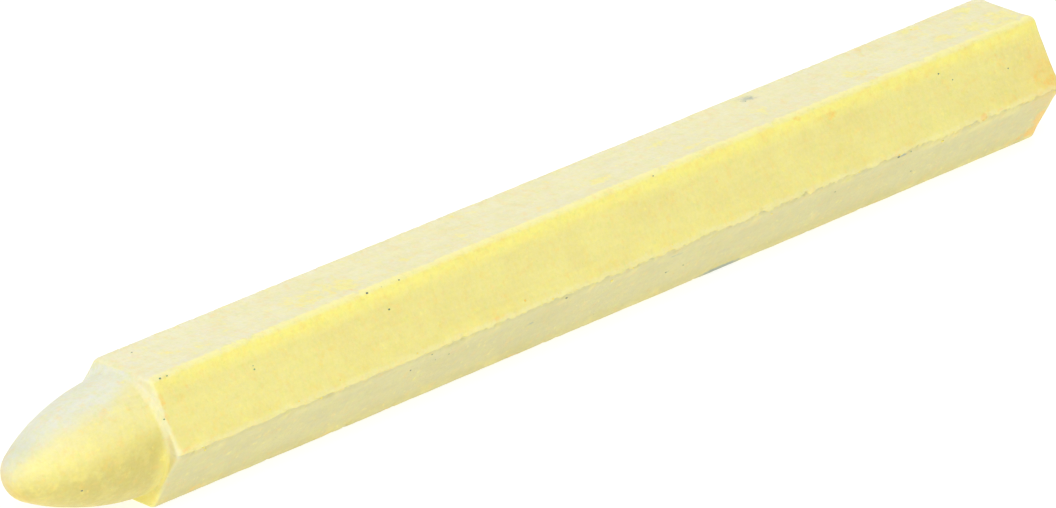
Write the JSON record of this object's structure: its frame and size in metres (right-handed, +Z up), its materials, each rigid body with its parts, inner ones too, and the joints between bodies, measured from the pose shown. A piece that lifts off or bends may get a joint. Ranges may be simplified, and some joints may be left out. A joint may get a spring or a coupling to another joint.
{
  "type": "hexagonal marking crayon",
  "caption": "Solid stick of yellow marking wax with a hexagonal body, a shallow shoulder, a round blunt writing nose and a flat butt with a rounded rim.",
  "frame": {"origin": "on the surface that the crayon lies on, under the middle of its length and on its centre line", "axes": "+X along the stick from the writing tip to the butt, +Z up through the flat that faces up, +Y to the left when looking from the tip to the butt"},
  "size_m": [0.12, 0.0128, 0.0113],
  "materials": {
    "marking_wax": "satin"
  },
  "bodies": {
    "root": {"crayon_stick": "marking_wax"}
  },
  "joints": []
}
